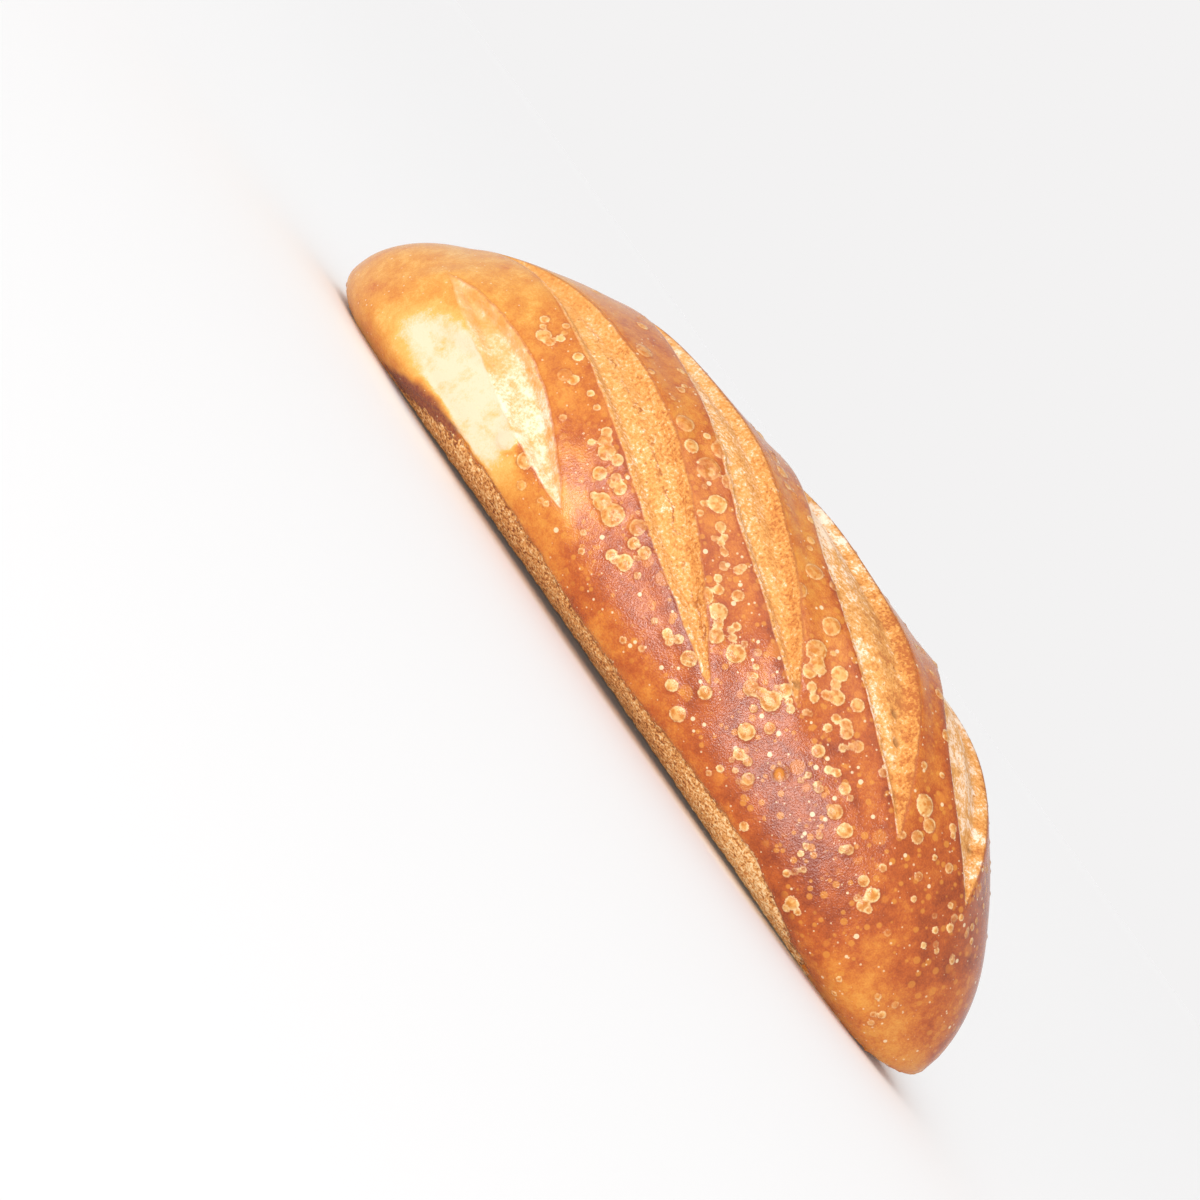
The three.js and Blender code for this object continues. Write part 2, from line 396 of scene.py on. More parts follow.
# How far a point lies inside the nearest cut, and where in it.
wobble = 0.4 * rough(9, 1) + 0.3 * rough(3.2, 2)
slash_depth = np.full(x.shape, -LENGTH)
slash_side = np.zeros(x.shape)
slash_along = np.zeros(x.shape)
flour = np.zeros(x.shape)
crack = np.zeros(x.shape)
lumps = np.zeros(x.shape)
porous = np.zeros(x.shape)
half_width_here = np.ones(x.shape)
for slash in SLASHES:
    run = np.subtract(slash["end"], slash["start"])
    length = np.hypot(*run)
    ahead = ((x - slash["start"][0]) * run[0] + (way_round - slash["start"][1]) * run[1]) / length
    share = np.clip(ahead / length, 0, 1)
    side = ((x - slash["start"][0]) * run[1] - (way_round - slash["start"][1]) * run[0]) / length
    side -= slash["bow"] * 4 * share * (1 - share)
    opening = slash["half_width"] * OPENING_SCALE * share ** OPENING_POWER * (1 - share)
    depth = opening - np.hypot(side, ahead - share * length)
    nearer = depth > slash_depth
    slash_depth = np.where(nearer, depth, slash_depth)
    slash_side = np.where(nearer, side, slash_side)
    slash_along = np.where(nearer, share, slash_along)
    half_width_here = np.where(nearer, slash["half_width"], half_width_here)
    pale_start, pale_end, low_side_flour_and_lift, high_side_flour_and_shade = slash["flour"]
    across = side / (opening + 1)
    pale = pale_start + (pale_end - pale_start) * smooth(share, 0.1, 0.7)
    # The low-side and high-side shares are partly painted light: a lift on the shaded low wall,
    # shade on the lit high wall.
    pale += low_side_flour_and_lift * np.clip(across, 0, 1) + high_side_flour_and_shade * np.clip(-across, 0, 1)
    flour = np.where(nearer, pale, flour)
    crack = np.where(nearer, slash["crack"] * smooth(share, 0.2, 0.4), crack)
    lumps = np.where(nearer, slash["lumps"], lumps)
    porous = np.where(nearer, slash["pores"] * (0.55 + 0.45 * smooth(share, 0.15, 0.6)), porous)
flour += lumps * (rough(2.6, 15) + 0.8 * rough(6, 16))

# Painted light: shade painted on the lit high wall of each cut, and a lift marked for its shaded
# hollow.
lit_high_wall = smooth(-slash_side, 0, 2) * (1 - smooth(slash_depth, 1.5, 4.5))
flour -= 0.12 * lit_high_wall
sheltered = (1 - lit_high_wall) * smooth(slash_depth, -0.2, 1)

trough = smooth(slash_depth, 0, SLASH_WALL)
relief = LIP_RISE * np.exp(-(np.minimum(slash_depth, 0) / LIP_REACH) ** 2) * (1 - trough)
relief += SLASH_SWELL * np.clip(slash_depth / half_width_here, 0, 1) - SLASH_DEPTH * trough
in_slash = smooth(slash_depth + wobble, 0, 1.5)
relief += in_slash * (0.25 * rough(5, 3) + 0.22 * rough(2.2, 4))


def patch_reach(centre, half_size, turn):
    """How far each point is from the middle of an oval on the crust, 1 at its outline."""
    from_x = x - centre[0]
    from_y = way_round - centre[1]
    return np.hypot((from_x * math.cos(turn) + from_y * math.sin(turn)) / half_size[0],
                    (from_y * math.cos(turn) - from_x * math.sin(turn)) / half_size[1])


# The torn patch, which sinks, and the cream oval over it.
patch_spread = patch_reach(PATCH_CENTRE, PATCH_HALF_SIZE, PATCH_TURN)
cream_spread = patch_reach(*CREAM_OVAL)
relief -= PATCH_DEPTH * (1 - smooth(patch_spread, *PATCH_RIM))

# The crust stands out over the base skin along the crease.
crease = CREASE_HEIGHT * (1 - smooth(x, *CREASE_FADE)) * smooth(x, *CREASE_START)
above_crease = z - crease
settled = smooth(z, 0, CREASE_HEIGHT) * (1 - smooth(np.abs(2 * x) / LENGTH, *TIP_FADE))
relief += settled * CREASE_STEP * smooth(above_crease, -1, 1) * np.exp(
    -np.maximum(above_crease, 0) / CREASE_REACH)
for height, wave_along, wave_round, phase in SWELLS:
    turns = x / wave_along + way_round / wave_round
    relief += settled * height * np.sin(2 * math.pi * turns + phase)
on_base = np.arange(SEGMENTS) >= CRUST_STEPS
relief[:, on_base] = 0
relief[:, 0] = 0

# The base skin is coarse and grainy, narrows towards the far end, and meets the crust in a
# broken groove.
bare_height = CREASE_HEIGHT * (1 - smooth(x, *CREASE_FADE)) * smooth(x, *BARE_START)
above_crease = z - bare_height + 0.9 * rough(11, 5) + 0.8 * rough(3, 6)
above_crease = np.where(x < BARE_START[0], 4, above_crease)
skin = 1 - smooth(above_crease, -0.8, 0.4)
skin[:, on_base] = 1
grains = 0.3 * rough(2.4, 7) + 0.25 * rough(1.5, 8)
relief += np.where(z > GRAINS_FROM, skin * grains, 0)
grooved = np.exp(-(above_crease / GROOVE_WIDTH) ** 2) * (z > GROOVE_FROM)
grooved *= smooth(rough(6, 9), -0.2, 0.3)
relief -= CREASE_GROOVE * grooved
surface += outward(surface) * relief[..., None]
surface[..., 1] -= (surface[..., 1].max() + surface[..., 1].min()) / 2

# Blisters: the larger ones in their places, then small ones strewn where the crust is browned.
crust_tree = kdtree.KDTree(x.size)
flat_surface = surface.reshape(-1, 3)
for number, point in enumerate(flat_surface):
    crust_tree.insert(point, number)
crust_tree.balance()
flat_x = x.ravel()
flat_round = way_round.ravel()
blister = np.full(x.size, FAR_OUTSIDE)
blister_pale = np.zeros(x.size)
blister_rise = np.zeros(x.size)
lumpy = rough(3.5, 10).ravel()


def raise_blister(centre, radius, pale):
    """Marks how deep each nearby point lies inside one blister, over those raised before it."""
    for point, number, distance in crust_tree.find_range(centre, radius + BLISTER_FOOT_REACH):
        depth = radius * (1 + BLISTER_LUMPS * lumpy[number]) - distance
        if depth > 0 or depth > blister[number]:
            blister[number] = depth
            blister_pale[number] = pale
            blister_rise[number] = BLISTER_RISE + BLISTER_BULGE * radius


for along, round_at, radius, pale in BLISTERS:
    number = np.argmin(np.hypot(flat_x - along, flat_round - round_at))
    raise_blister(flat_surface[number], radius, pale)

chance = np.random.default_rng(BLISTER_SEED)
for along, round_at, half_length, half_width, count in BLISTER_GROUPS:
    for _ in range(count):
        shift_along, shift_round = chance.uniform(-1, 1, 2)
        number = np.argmin(np.hypot(flat_x - along - half_length * shift_along,
                                    flat_round - round_at - half_width * shift_round))
        if blister[number] < 0 and slash_depth.ravel()[number] < -1:
            radius = MIDDLING_RADIUS + MIDDLING_SPREAD * chance.random() ** 2
            raise_blister(flat_surface[number], radius, chance.uniform(*MIDDLING_PALE))

browned = smooth(flat_x, -105, -20) * (1 - 0.25 * smooth(flat_x, 95, 130)) + 0.02
browned *= smooth(above_crease.ravel(), 2, 6) * (1 - 0.97 * in_slash.ravel())
browned *= smooth(patch_spread.ravel(), 1.1, 1.5)
on_front = (flat_x > FRONT_ALONG[0]) & (flat_x < FRONT_ALONG[1])
on_front &= (flat_round > FRONT_ROUND[0]) & (flat_round < FRONT_ROUND[1])
tiny = on_front | (flat_x < SMALL_ALONG[0]) | (flat_x > SMALL_ALONG[1])
step_area = np.gradient(x, axis=0).ravel()
strewn = browned * np.where(on_front, FRONT_SHARE, 1.0) * step_area * (flat_x < LAST_BLISTER)
for number in chance.choice(x.size, size=BLISTER_COUNT, p=strewn / strewn.sum()):
    spread = TINY_SPREAD if tiny[number] else SMALL_SPREAD
    radius = SMALL_RADIUS + spread * chance.random() ** 3
    pale = SMALL_PALE_LEAST + SMALL_PALE_SPREAD * chance.random()
    raise_blister(flat_surface[number], radius, pale)
blister = blister.reshape(x.shape)
blister_pale = blister_pale.reshape(x.shape)
blister_rise = blister_rise.reshape(x.shape)
surface += outward(surface) * (blister_rise * smooth(blister, -0.3, 1.4))[..., None]

# The torn flap stands up a little.
lumpy = lumpy.reshape(x.shape)
flap_away = np.hypot(x - FLAP[0], way_round - FLAP[1]) * (1 + 0.12 * lumpy)
flap = 1 - smooth(flap_away, FLAP[2] - 1, FLAP[2] + 0.3)
surface += outward(surface) * (FLAP_RISE * flap)[..., None]

# Open cells where a bubble broke: shallow pits.
cell = np.full(x.shape, FAR_OUTSIDE)
for along, round_at, radius, stretch in OPEN_CELLS:
    away = np.hypot((x - along) / stretch, way_round - round_at) * (1 + 0.25 * lumpy)
    cell = np.maximum(cell, radius - away)
surface -= outward(surface) * (CELL_DEPTH * smooth(cell, -0.3, 1.0))[..., None]

tips = {0: (-LENGTH / 2, 0, LOW_END["tip"]), RINGS: (LENGTH / 2, 0, HIGH_END["tip"])}
inner = (ring_of > 0) & (ring_of < RINGS)
moved = np.empty_like(sphere)
moved[inner] = surface[ring_of[inner] - 1, segment_of[inner]]
for ring, tip in tips.items():
    moved[ring_of == ring] = tip
loaf.data.vertices.foreach_set("co", (moved / MM_PER_METRE).ravel())

# How far each place is baked: cream in the patch, gold at the far end, and chestnut on the
# shoulders and on top of the near end. The crust is also darker along the low edge of the cuts.
bake = 0.3 + 0.17 * smooth(x, -118, -60) + 0.16 * smooth(x, -60, 60)
bake += 0.22 * np.exp(-((np.abs(way_round) - 79) / 15) ** 2) * between(x, (-45, -12), (95, 118))
upper = smooth((z - z.min(axis=1, keepdims=True)) / np.ptp(z, axis=1, keepdims=True), 0.35, 0.7)
bake += 0.17 * smooth(x, 78, 112) * upper
bake -= 0.17 * smooth(x, 88, 104) * (1 - smooth(z, 8, 22)) * (1 - 0.5 * smooth(x, 124, 136))
bake -= 0.11 * smooth(x, 122, 136)
bake += 0.05 * (1 - smooth(way_round, -92, -82)) * between(x, (-35, -10), (20, 45))
bake += 0.06 * between(x, (45, 65), (105, 115)) * between(way_round, (-85, -72), (-58, -48))
bake += 0.05 * between(x, (-90, -70), (-5, 20)) * smooth(way_round, -62, -50)
for along, round_at, reach_along, reach_round, darker in DARKER_SPOTS:
    bake += darker * np.exp(
        -((x - along) / reach_along) ** 2 - ((way_round - round_at) / reach_round) ** 2)
bake -= 0.15 * np.exp(-((x - 18) / 24) ** 2) * smooth(way_round, -62, -46)
low_edge = np.exp(-(np.minimum(slash_depth, 0) / 2.6) ** 2) * smooth(slash_side, 0, 2)
bake += 0.2 * low_edge * between(slash_along, (0.35, 0.6), (0.9, 1))
bake += 0.08 * rough(34, 11) + 0.07 * rough(12, 12)

# The tail of the first cut, the cream patch and the torn flap are paler.
tail = np.subtract(TAIL_END, TAIL_START)
from_tail = (x - TAIL_START[0], way_round - TAIL_START[1])
tail_share = np.clip((from_tail[0] * tail[0] + from_tail[1] * tail[1]) / tail.dot(tail), 0, 1)
tail_away = np.hypot(from_tail[0] - tail_share * tail[0], from_tail[1] - tail_share * tail[1])
bake -= 0.22 * np.exp(-(tail_away / 2.6) ** 2) * (1 - 0.7 * tail_share)
bake *= smooth(cream_spread + 0.08 * rough(7, 14), 0.8, 1.5) ** 0.8
fibrous = np.maximum(rough(5, 17) + 0.5 * rough(1.6, 18), 0)
bake += 0.09 * fibrous * (1 - smooth(cream_spread, 0.8, 1.1))
bake *= 0.05 + 0.95 * smooth(flap_away, FLAP[2] - 0.5, FLAP[2] + 0.4)
# A darker ring round the flap on its near-end side: partly its browned outline, partly painted
# shadow cast by the raised flap.
bake += 0.13 * np.exp(-((flap_away - FLAP[2] - 0.9) / 0.6) ** 2) * smooth(x, FLAP[0], FLAP[0] + 3)

# The burnt band under the patch, with a browned halo above it, and the browned crease.
burnt_top = BURNT_HEIGHT * smooth(x, -112, -80) + 0.9 * rough(5, 13)
burnt = 1 - smooth(z, burnt_top - 1.2, burnt_top + 0.6)
burnt *= (way_round < 0) * smooth(x, *BURNT_START) * (z > 0.8)
burnt *= 1 - smooth(x + 2 * rough(4, 19), *BURNT_END)
halo = 1 - smooth(z, burnt_top, burnt_top + 1.2 + 2.5 * (1 - smooth(x, -98, -82)))
halo *= (way_round < 0) * between(x, BURNT_START, HALO_END)
bake = np.maximum(bake, 0.36 * halo)
bake = np.maximum(bake, 0.5 * (1 - smooth(above_crease, 0.3, 1.8)))

# The flat underside is bare too, but for its two ends.
under = (UNDER_CRUSTED - UNDER_BARE) * smooth(np.abs(x), *CRUSTED_ENDS) + UNDER_BARE

# What the material reads at each point of the crust, and its value at the two tips.
crust_values = {
    "slash_depth": (slash_depth + wobble, -20),
    "slash_side": (slash_side, 20),
    "flour": (flour, 0),
    "crack": (crack, 0),
    "pores": (porous, 0),
    "sheltered": (sheltered, 0),
    "bake": (bake, 0.4),
    "burnt": (burnt, 0),
    "above_crease": (np.where(on_base, under, above_crease), 5),
    "blister": (blister, FAR_OUTSIDE),
    "blister_pale": (blister_pale, 0),
    "open_cell": (cell, FAR_OUTSIDE),
    "browned": (browned.reshape(x.shape), 0.1),
}
for name, (values, at_tips) in crust_values.items():
    point_values = np.full(len(sphere), float(at_tips))
    point_values[inner] = values[ring_of[inner] - 1, segment_of[inner]]
    attribute = loaf.data.attributes.new(name, "FLOAT", "POINT")
    attribute.data.foreach_set("value", point_values.astype(np.float32))
bpy.ops.object.shade_smooth()

# Crust: baked wheat dough glazed by steam, smooth with a satin gloss over fine orange peel.
# Cuts: torn dough that set dry, matt and finely porous. Base skin: coarse, floury and dull.
CRUST_BAKE = [(0.0, "d9c1a2"), (0.12, "d8a354"), (0.28, "cc8b39"), (0.5, "be6f28"),
              (0.72, "a64f1c"), (1.0, "7f3312")]
CUT_FACE = [(0.0, "ac602b"), (0.25, "c47f3c"), (0.5, "d3934a"), (0.72, "dea76f"), (1.0, "f2dac2")]
BASE_SKIN = [(0.33, "6c3418"), (0.42, "ba743a"), (0.52, "dc9f58"), (0.65, "f4d6a4")]
BURNT = "783826"
SEAM = "753117"
CUT_EDGE = "9e4c1c"
CRACK = "944a1a"
CUT_PIT = "a8642a"
# Painted light: a golden lift for the shaded hollow of each cut.
HOLLOW_LIFT_GOLD = "f6b96c"
BLISTER_AMBER = "c47e2e"
POOL_AMBER = "c87a2c"
BLISTER_PALE = "dfb36d"
# Painted light on the blisters: a highlight colour for the rim and a shade colour for the foot.
BLISTER_RIM_HIGHLIGHT = "e4c794"
BLISTER_FOOT_SHADE = "8f3518"
OPEN_CELL = "8e6137"
POPPED = "d3862a"
SPECK = "dbc39b"
LEATHER_MM = 0.5
MOTTLE_MM = 6.0
PORE_MM = 0.95
GRAIN_MM = 0.85
BLOTCH_MM = 1.5
SPECK_SPACING_MM = 3.2
DUST_SPACING_MM = 1.6
FRECKLE_SPACING_MM = 2.6
POOL_SPACING_MM = 6.5
BLISTER_WOBBLE_MM = 0.14
CREASE_FLAKES_MM = 0.9
CRACK_WANDER_MM = 2.8
PEEL_HEIGHT_MM = 0.12
PORE_HEIGHT_MM = 0.4
GRAIN_HEIGHT_MM = 0.75
BLISTER_SKIN_MM = 0.15
MOTTLE_STEP = 0.14
PEEL_STEP = 0.07
BLOTCH_STEP = 0.1
HOLLOW_LIFT_SHARE = 0.14
# Painted light: where the base skin is lifted paler towards the near end, which turns under into
# shade.
BASE_LIFT_FROM = 0.035
BASE_LIFT_TO = 0.075
CRUST_ROUGHNESS = 0.24
CUT_ROUGHNESS = 0.85
BASE_ROUGHNESS = 0.9
NOISE_SPAN = {"From Min": 0.3, "From Max": 0.7}
EDGE_SPAN = {"From Min": -2.0, "From Max": 2.0}

crust = bpy.data.materials.new("baked_wheat_crust")
crust.use_nodes = True
tree = crust.node_tree
shader = tree.nodes["Principled BSDF"]
shader.inputs["IOR"].default_value = 1.45
shader.inputs["Specular IOR Level"].default_value = 0.5
place = add(tree, "TexCoord").outputs["Object"]
stored = {name: add(tree, "Attribute", {"attribute_name": name}).outputs["Fac"]
          for name in crust_values}

mottle = add(tree, "TexNoise", {"Scale": MM_PER_METRE / MOTTLE_MM, "Detail": 4.0, "Roughness": 0.6},
             {"Vector": place})
leather = add(tree, "TexNoise", {"Scale": MM_PER_METRE / LEATHER_MM, "Detail": 2.0},
              {"Vector": place})
pores = add(tree, "TexNoise", {"Scale": MM_PER_METRE / PORE_MM, "Detail": 3.0, "Roughness": 0.7},
            {"Vector": place})
blotch = add(tree, "TexNoise", {"Scale": MM_PER_METRE / BLOTCH_MM, "Detail": 2.0},
             {"Vector": place})
grain = add(tree, "TexNoise", {"Scale": MM_PER_METRE / GRAIN_MM, "Detail": 4.0, "Roughness": 0.65},
            {"Vector": place})

# Crust colour, mottled by part of a step of baking.
mottled = add(tree, "MapRange", {**NOISE_SPAN, "To Min": -MOTTLE_STEP, "To Max": MOTTLE_STEP},
              {"Value": mottle.outputs["Fac"]})
peeled = add(tree, "MapRange", {**NOISE_SPAN, "To Min": -PEEL_STEP, "To Max": PEEL_STEP},
             {"Value": leather.outputs["Fac"]})
mottle_share = add(tree, "MapRange", {"From Max": 0.4, "To Min": 0.25, "To Max": 1.15},
                   {"Value": stored["bake"]})
blotched = add(tree, "MapRange", {**NOISE_SPAN, "To Min": BLOTCH_STEP, "To Max": -BLOTCH_STEP},
               {"Value": blotch.outputs["Fac"]})
fine = add(tree, "Math", {"operation": "ADD"},
           {0: blotched.outputs["Result"], 1: peeled.outputs["Result"]})
both = add(tree, "Math", {"operation": "ADD"},
           {0: mottled.outputs["Result"], 1: fine.outputs["Value"]})
uneven = add(tree, "Math", {"operation": "MULTIPLY"},
             {0: both.outputs["Value"], 1: mottle_share.outputs["Result"]})
browning = add(tree, "Math", {"operation": "ADD"},
               {0: stored["bake"], 1: uneven.outputs["Value"]})
crust_colour = add(tree, "ValToRGB", {"stops": CRUST_BAKE}, {"Fac": browning.outputs["Value"]})
scorch_breaks = add(tree, "MapRange",
                    {"From Min": 0.3, "From Max": 0.6, "To Min": 1.15, "To Max": 0.78},
                    {"Value": grain.outputs["Fac"]})
scorch_here = add(tree, "Math", {"operation": "MULTIPLY", "use_clamp": True},
                  {0: stored["burnt"], 1: scorch_breaks.outputs["Result"]})
scorch = add(tree, "Mix", {"data_type": "RGBA", 7: linear(BURNT)},
             {0: scorch_here.outputs["Value"], 6: crust_colour.outputs["Color"]})


def inside_spots(spacing, channel, rarity, smallest, largest, share=None):
    """How far each place lies inside the nearest of many strewn round spots of mixed sizes."""
    spots = add(tree, "TexVoronoi", {"Scale": MM_PER_METRE / spacing}, {"Vector": place})
    sizes = add(tree, "SeparateColor", {}, {"Color": spots.outputs["Color"]})
    reach = add(tree, "MapRange", {"From Min": rarity, "To Min": smallest, "To Max": largest},
                {"Value": sizes.outputs[channel]}).outputs["Result"]
    if share is not None:
        shrunk = add(tree, "Math", {"operation": "MULTIPLY"}, {0: reach, 1: share})
        reach = shrunk.outputs["Value"]
    inside = add(tree, "Math", {"operation": "SUBTRACT"},
                 {0: reach, 1: spots.outputs["Distance"]})
    return inside.outputs["Value"]


# Amber pools and freckles under the glaze, then pale specks and a fine dust of tinier ones.
pool_inside = inside_spots(POOL_SPACING_MM, "Blue", 0.35, 0.0, 0.36)
pool_ragged = add(tree, "Math", {"operation": "MULTIPLY_ADD", 1: 0.5},
                  {0: blotched.outputs["Result"], 2: pool_inside})
pool_mask = add(tree, "MapRange", {"From Min": -0.03, "From Max": 0.05, "To Max": 0.5},
                {"Value": pool_ragged.outputs["Value"]})
pool_here = add(tree, "Math", {"operation": "MULTIPLY"},
                {0: pool_mask.outputs["Result"], 1: stored["browned"]})
pooled = add(tree, "Mix", {"data_type": "RGBA", 7: linear(POOL_AMBER)},
             {0: pool_here.outputs["Value"], 6: scorch.outputs[2]})
freckle_inside = inside_spots(FRECKLE_SPACING_MM, "Green", 0.1, 0.05, 0.45)
freckle_mask = add(tree, "MapRange", {"From Min": -0.03, "From Max": 0.08, "To Max": 0.7},
                   {"Value": freckle_inside})
freckle_here = add(tree, "Math", {"operation": "MULTIPLY"},
                   {0: freckle_mask.outputs["Result"], 1: stored["browned"]})
freckled = add(tree, "Mix", {"data_type": "RGBA", 7: linear(BLISTER_AMBER)},
               {0: freckle_here.outputs["Value"], 6: pooled.outputs[2]})
speck_inside = inside_spots(SPECK_SPACING_MM, "Red", 0.45, 0.0, 0.24, stored["browned"])
speck_mask = add(tree, "MapRange", {"From Min": -0.02, "From Max": 0.03, "To Max": 0.85},
                 {"Value": speck_inside})
dust_inside = inside_spots(DUST_SPACING_MM, "Red", 0.45, 0.0, 0.22)
dust_mask = add(tree, "MapRange", {"From Min": -0.02, "From Max": 0.04, "To Max": 0.6},
                {"Value": dust_inside})
speckle = add(tree, "Math", {"operation": "MAXIMUM"},
              {0: speck_mask.outputs["Result"], 1: dust_mask.outputs["Result"]})
speck_colour = add(tree, "Mix", {"data_type": "RGBA", 7: linear(SPECK)},
                   {0: speckle.outputs["Value"], 6: freckled.outputs[2]})

# Blisters: a thin amber skin, with painted shade round the foot and a painted highlight on the rim.
bubble_edge = add(tree, "MapRange",
                  {**NOISE_SPAN, "To Min": -BLISTER_WOBBLE_MM, "To Max": BLISTER_WOBBLE_MM},
                  {"Value": leather.outputs["Fac"]})
bubble_depth = add(tree, "Math", {"operation": "ADD"},
                   {0: stored["blister"], 1: bubble_edge.outputs["Result"]})
bubble_share = add(tree, "MapRange", {"From Min": -1.5, "From Max": 1.5},
                   {"Value": bubble_depth.outputs["Value"]})
foot_shade = add(tree, "ValToRGB", {"stops": [(0.22, 0.0), (0.44, 0.32), (0.5, 0.0)]},
           {"Fac": bubble_share.outputs["Result"]})
foot_shade_breaks = add(tree, "MapRange",
                  {"From Min": 0.4, "From Max": 0.6, "To Min": 1.0, "To Max": 0.3},
                  {"Value": blotch.outputs["Fac"]})
foot_shade_here = add(tree, "Math", {"operation": "MULTIPLY"},
                {0: foot_shade.outputs["Color"], 1: foot_shade_breaks.outputs["Result"]})
foot_shade_colour = add(tree, "Mix", {"data_type": "RGBA", 7: linear(BLISTER_FOOT_SHADE)},
                  {0: foot_shade_here.outputs["Value"], 6: speck_colour.outputs[2]})
rim_highlight = add(tree, "ValToRGB", {"stops": [(0.47, 0.0), (0.54, 1.0), (0.62, 0.55), (0.72, 0.0)]},
          {"Fac": bubble_share.outputs["Result"]})
dome = add(tree, "ValToRGB", {"stops": [(0.47, 0.0), (0.56, 0.8)]},
           {"Fac": bubble_share.outputs["Result"]})
dome_skin = add(tree, "ValToRGB", {"stops": [(0.4, BLISTER_AMBER), (0.6, BLISTER_PALE)]},
                {"Fac": blotch.outputs["Fac"]})
dome_pale = add(tree, "Math", {"operation": "MULTIPLY"},
                {0: dome.outputs["Color"], 1: stored["blister_pale"]})
dome_colour = add(tree, "Mix", {"data_type": "RGBA"},
                  {0: dome_pale.outputs["Value"], 6: foot_shade_colour.outputs[2],
                   7: dome_skin.outputs["Color"]})
rim_breaks = add(tree, "MapRange", {"From Min": 0.35, "From Max": 0.6, "To Min": 0.25},
                 {"Value": blotch.outputs["Fac"]})
rim_highlight_broken = add(tree, "Math", {"operation": "MULTIPLY"},
               {0: rim_highlight.outputs["Color"], 1: rim_breaks.outputs["Result"]})
rim_highlight_here = add(tree, "Math", {"operation": "MULTIPLY"},
               {0: rim_highlight_broken.outputs["Value"], 1: stored["blister_pale"]})
blistered = add(tree, "Mix", {"data_type": "RGBA", 7: linear(BLISTER_RIM_HIGHLIGHT)},
                {0: rim_highlight_here.outputs["Value"], 6: dome_colour.outputs[2]})

# Faces of the cuts, from porous brown to floury cream, with a broken crack down the middle.
pored = add(tree, "MapRange", {**NOISE_SPAN, "To Min": -0.37, "To Max": 0.33},
            {"Value": pores.outputs["Fac"]})
# The flour value also carries painted light: a lift on the shaded low wall and shade on the lit
# high wall.
floury = add(tree, "Math", {"operation": "MULTIPLY_ADD"},
             {0: pored.outputs["Result"], 1: stored["pores"], 2: stored["flour"]})
patchy = add(tree, "Math", {"operation": "ADD"},
             {0: floury.outputs["Value"], 1: mottled.outputs["Result"]})
face_colour = add(tree, "ValToRGB", {"stops": CUT_FACE}, {"Fac": patchy.outputs["Value"]})
pit_mask = add(tree, "MapRange", {"From Min": -0.08, "From Max": 0.02, "To Max": 0.7},
               {"Value": dust_inside})
pit_here = add(tree, "Math", {"operation": "MULTIPLY", "use_clamp": True},
               {0: pit_mask.outputs["Result"], 1: stored["pores"]})
pitted = add(tree, "Mix", {"data_type": "RGBA", 7: linear(CUT_PIT)},
             {0: pit_here.outputs["Value"], 6: face_colour.outputs["Color"]})
# Painted light: the shaded hollow of each cut, its low wall and floor, is lifted towards gold.
hollow_lift_share = add(tree, "Math", {"operation": "MULTIPLY", 1: HOLLOW_LIFT_SHARE},
                   {0: stored["sheltered"]})
cut_colour = add(tree, "Mix", {"data_type": "RGBA", 7: linear(HOLLOW_LIFT_GOLD)},
                 {0: hollow_lift_share.outputs["Value"], 6: pitted.outputs[2]})
crack_wobble = add(tree, "Math", {"operation": "MULTIPLY_ADD", 1: CRACK_WANDER_MM / MOTTLE_STEP},
                   {0: mottled.outputs["Result"], 2: stored["slash_side"]})
crack_away = add(tree, "Math", {"operation": "ABSOLUTE"}, {0: crack_wobble.outputs["Value"]})
crack_line = add(tree, "MapRange", {"From Min": 0.1, "From Max": 0.7, "To Min": 0.9, "To Max": 0.0},
                 {"Value": crack_away.outputs["Value"]})
crack_breaks = add(tree, "MapRange", {"From Min": 0.45, "From Max": 0.58},
                   {"Value": mottle.outputs["Fac"]})
crack_some = add(tree, "Math", {"operation": "MULTIPLY"},
                 {0: crack_line.outputs["Result"], 1: crack_breaks.outputs["Result"]})
crack_here = add(tree, "Math", {"operation": "MULTIPLY"},
                 {0: crack_some.outputs["Value"], 1: stored["crack"]})
cracked_colour = add(tree, "Mix", {"data_type": "RGBA", 7: linear(CRACK)},
                     {0: crack_here.outputs["Value"], 6: cut_colour.outputs[2]})
inside_cut = add(tree, "MapRange", {"From Min": -0.2, "From Max": 0.35},
                 {"Value": stored["slash_depth"]})
cut_or_crust = add(tree, "Mix", {"data_type": "RGBA"},
                   {0: inside_cut.outputs["Result"], 6: blistered.outputs[2],
                    7: cracked_colour.outputs[2]})

# The browned line along the edge of a cut, stronger and further in on its high side.
edge_shift = add(tree, "MapRange", {"From Min": -1.0, "To Min": -0.5, "To Max": 0.0},
                 {"Value": stored["slash_side"]})
edge_strength = add(tree, "MapRange", {"From Min": -1.0, "To Min": 1.0, "To Max": 0.35},
                    {"Value": stored["slash_side"]})
edge_place = add(tree, "Math", {"operation": "ADD"},
                 {0: stored["slash_depth"], 1: edge_shift.outputs["Result"]})
edge_share = add(tree, "MapRange", EDGE_SPAN, {"Value": edge_place.outputs["Value"]})
edge_line = add(tree, "ValToRGB", {"stops": [(0.2, 0.0), (0.42, 0.7), (0.5, 0.25), (0.54, 0.0)]},
                {"Fac": edge_share.outputs["Result"]})
edge_browned = add(tree, "MapRange", {"From Min": 0.15, "From Max": 0.4},
                   {"Value": stored["bake"]})
edge_breaks = add(tree, "Math", {"operation": "MULTIPLY"},
                  {0: edge_browned.outputs["Result"], 1: rim_breaks.outputs["Result"]})
edge_some = add(tree, "Math", {"operation": "MULTIPLY"},
                {0: edge_strength.outputs["Result"], 1: edge_breaks.outputs["Value"]})
edge_here = add(tree, "Math", {"operation": "MULTIPLY"},
                {0: edge_line.outputs["Color"], 1: edge_some.outputs["Value"]})
edged = add(tree, "Mix", {"data_type": "RGBA", 7: linear(CUT_EDGE)},
            {0: edge_here.outputs["Value"], 6: cut_or_crust.outputs[2]})

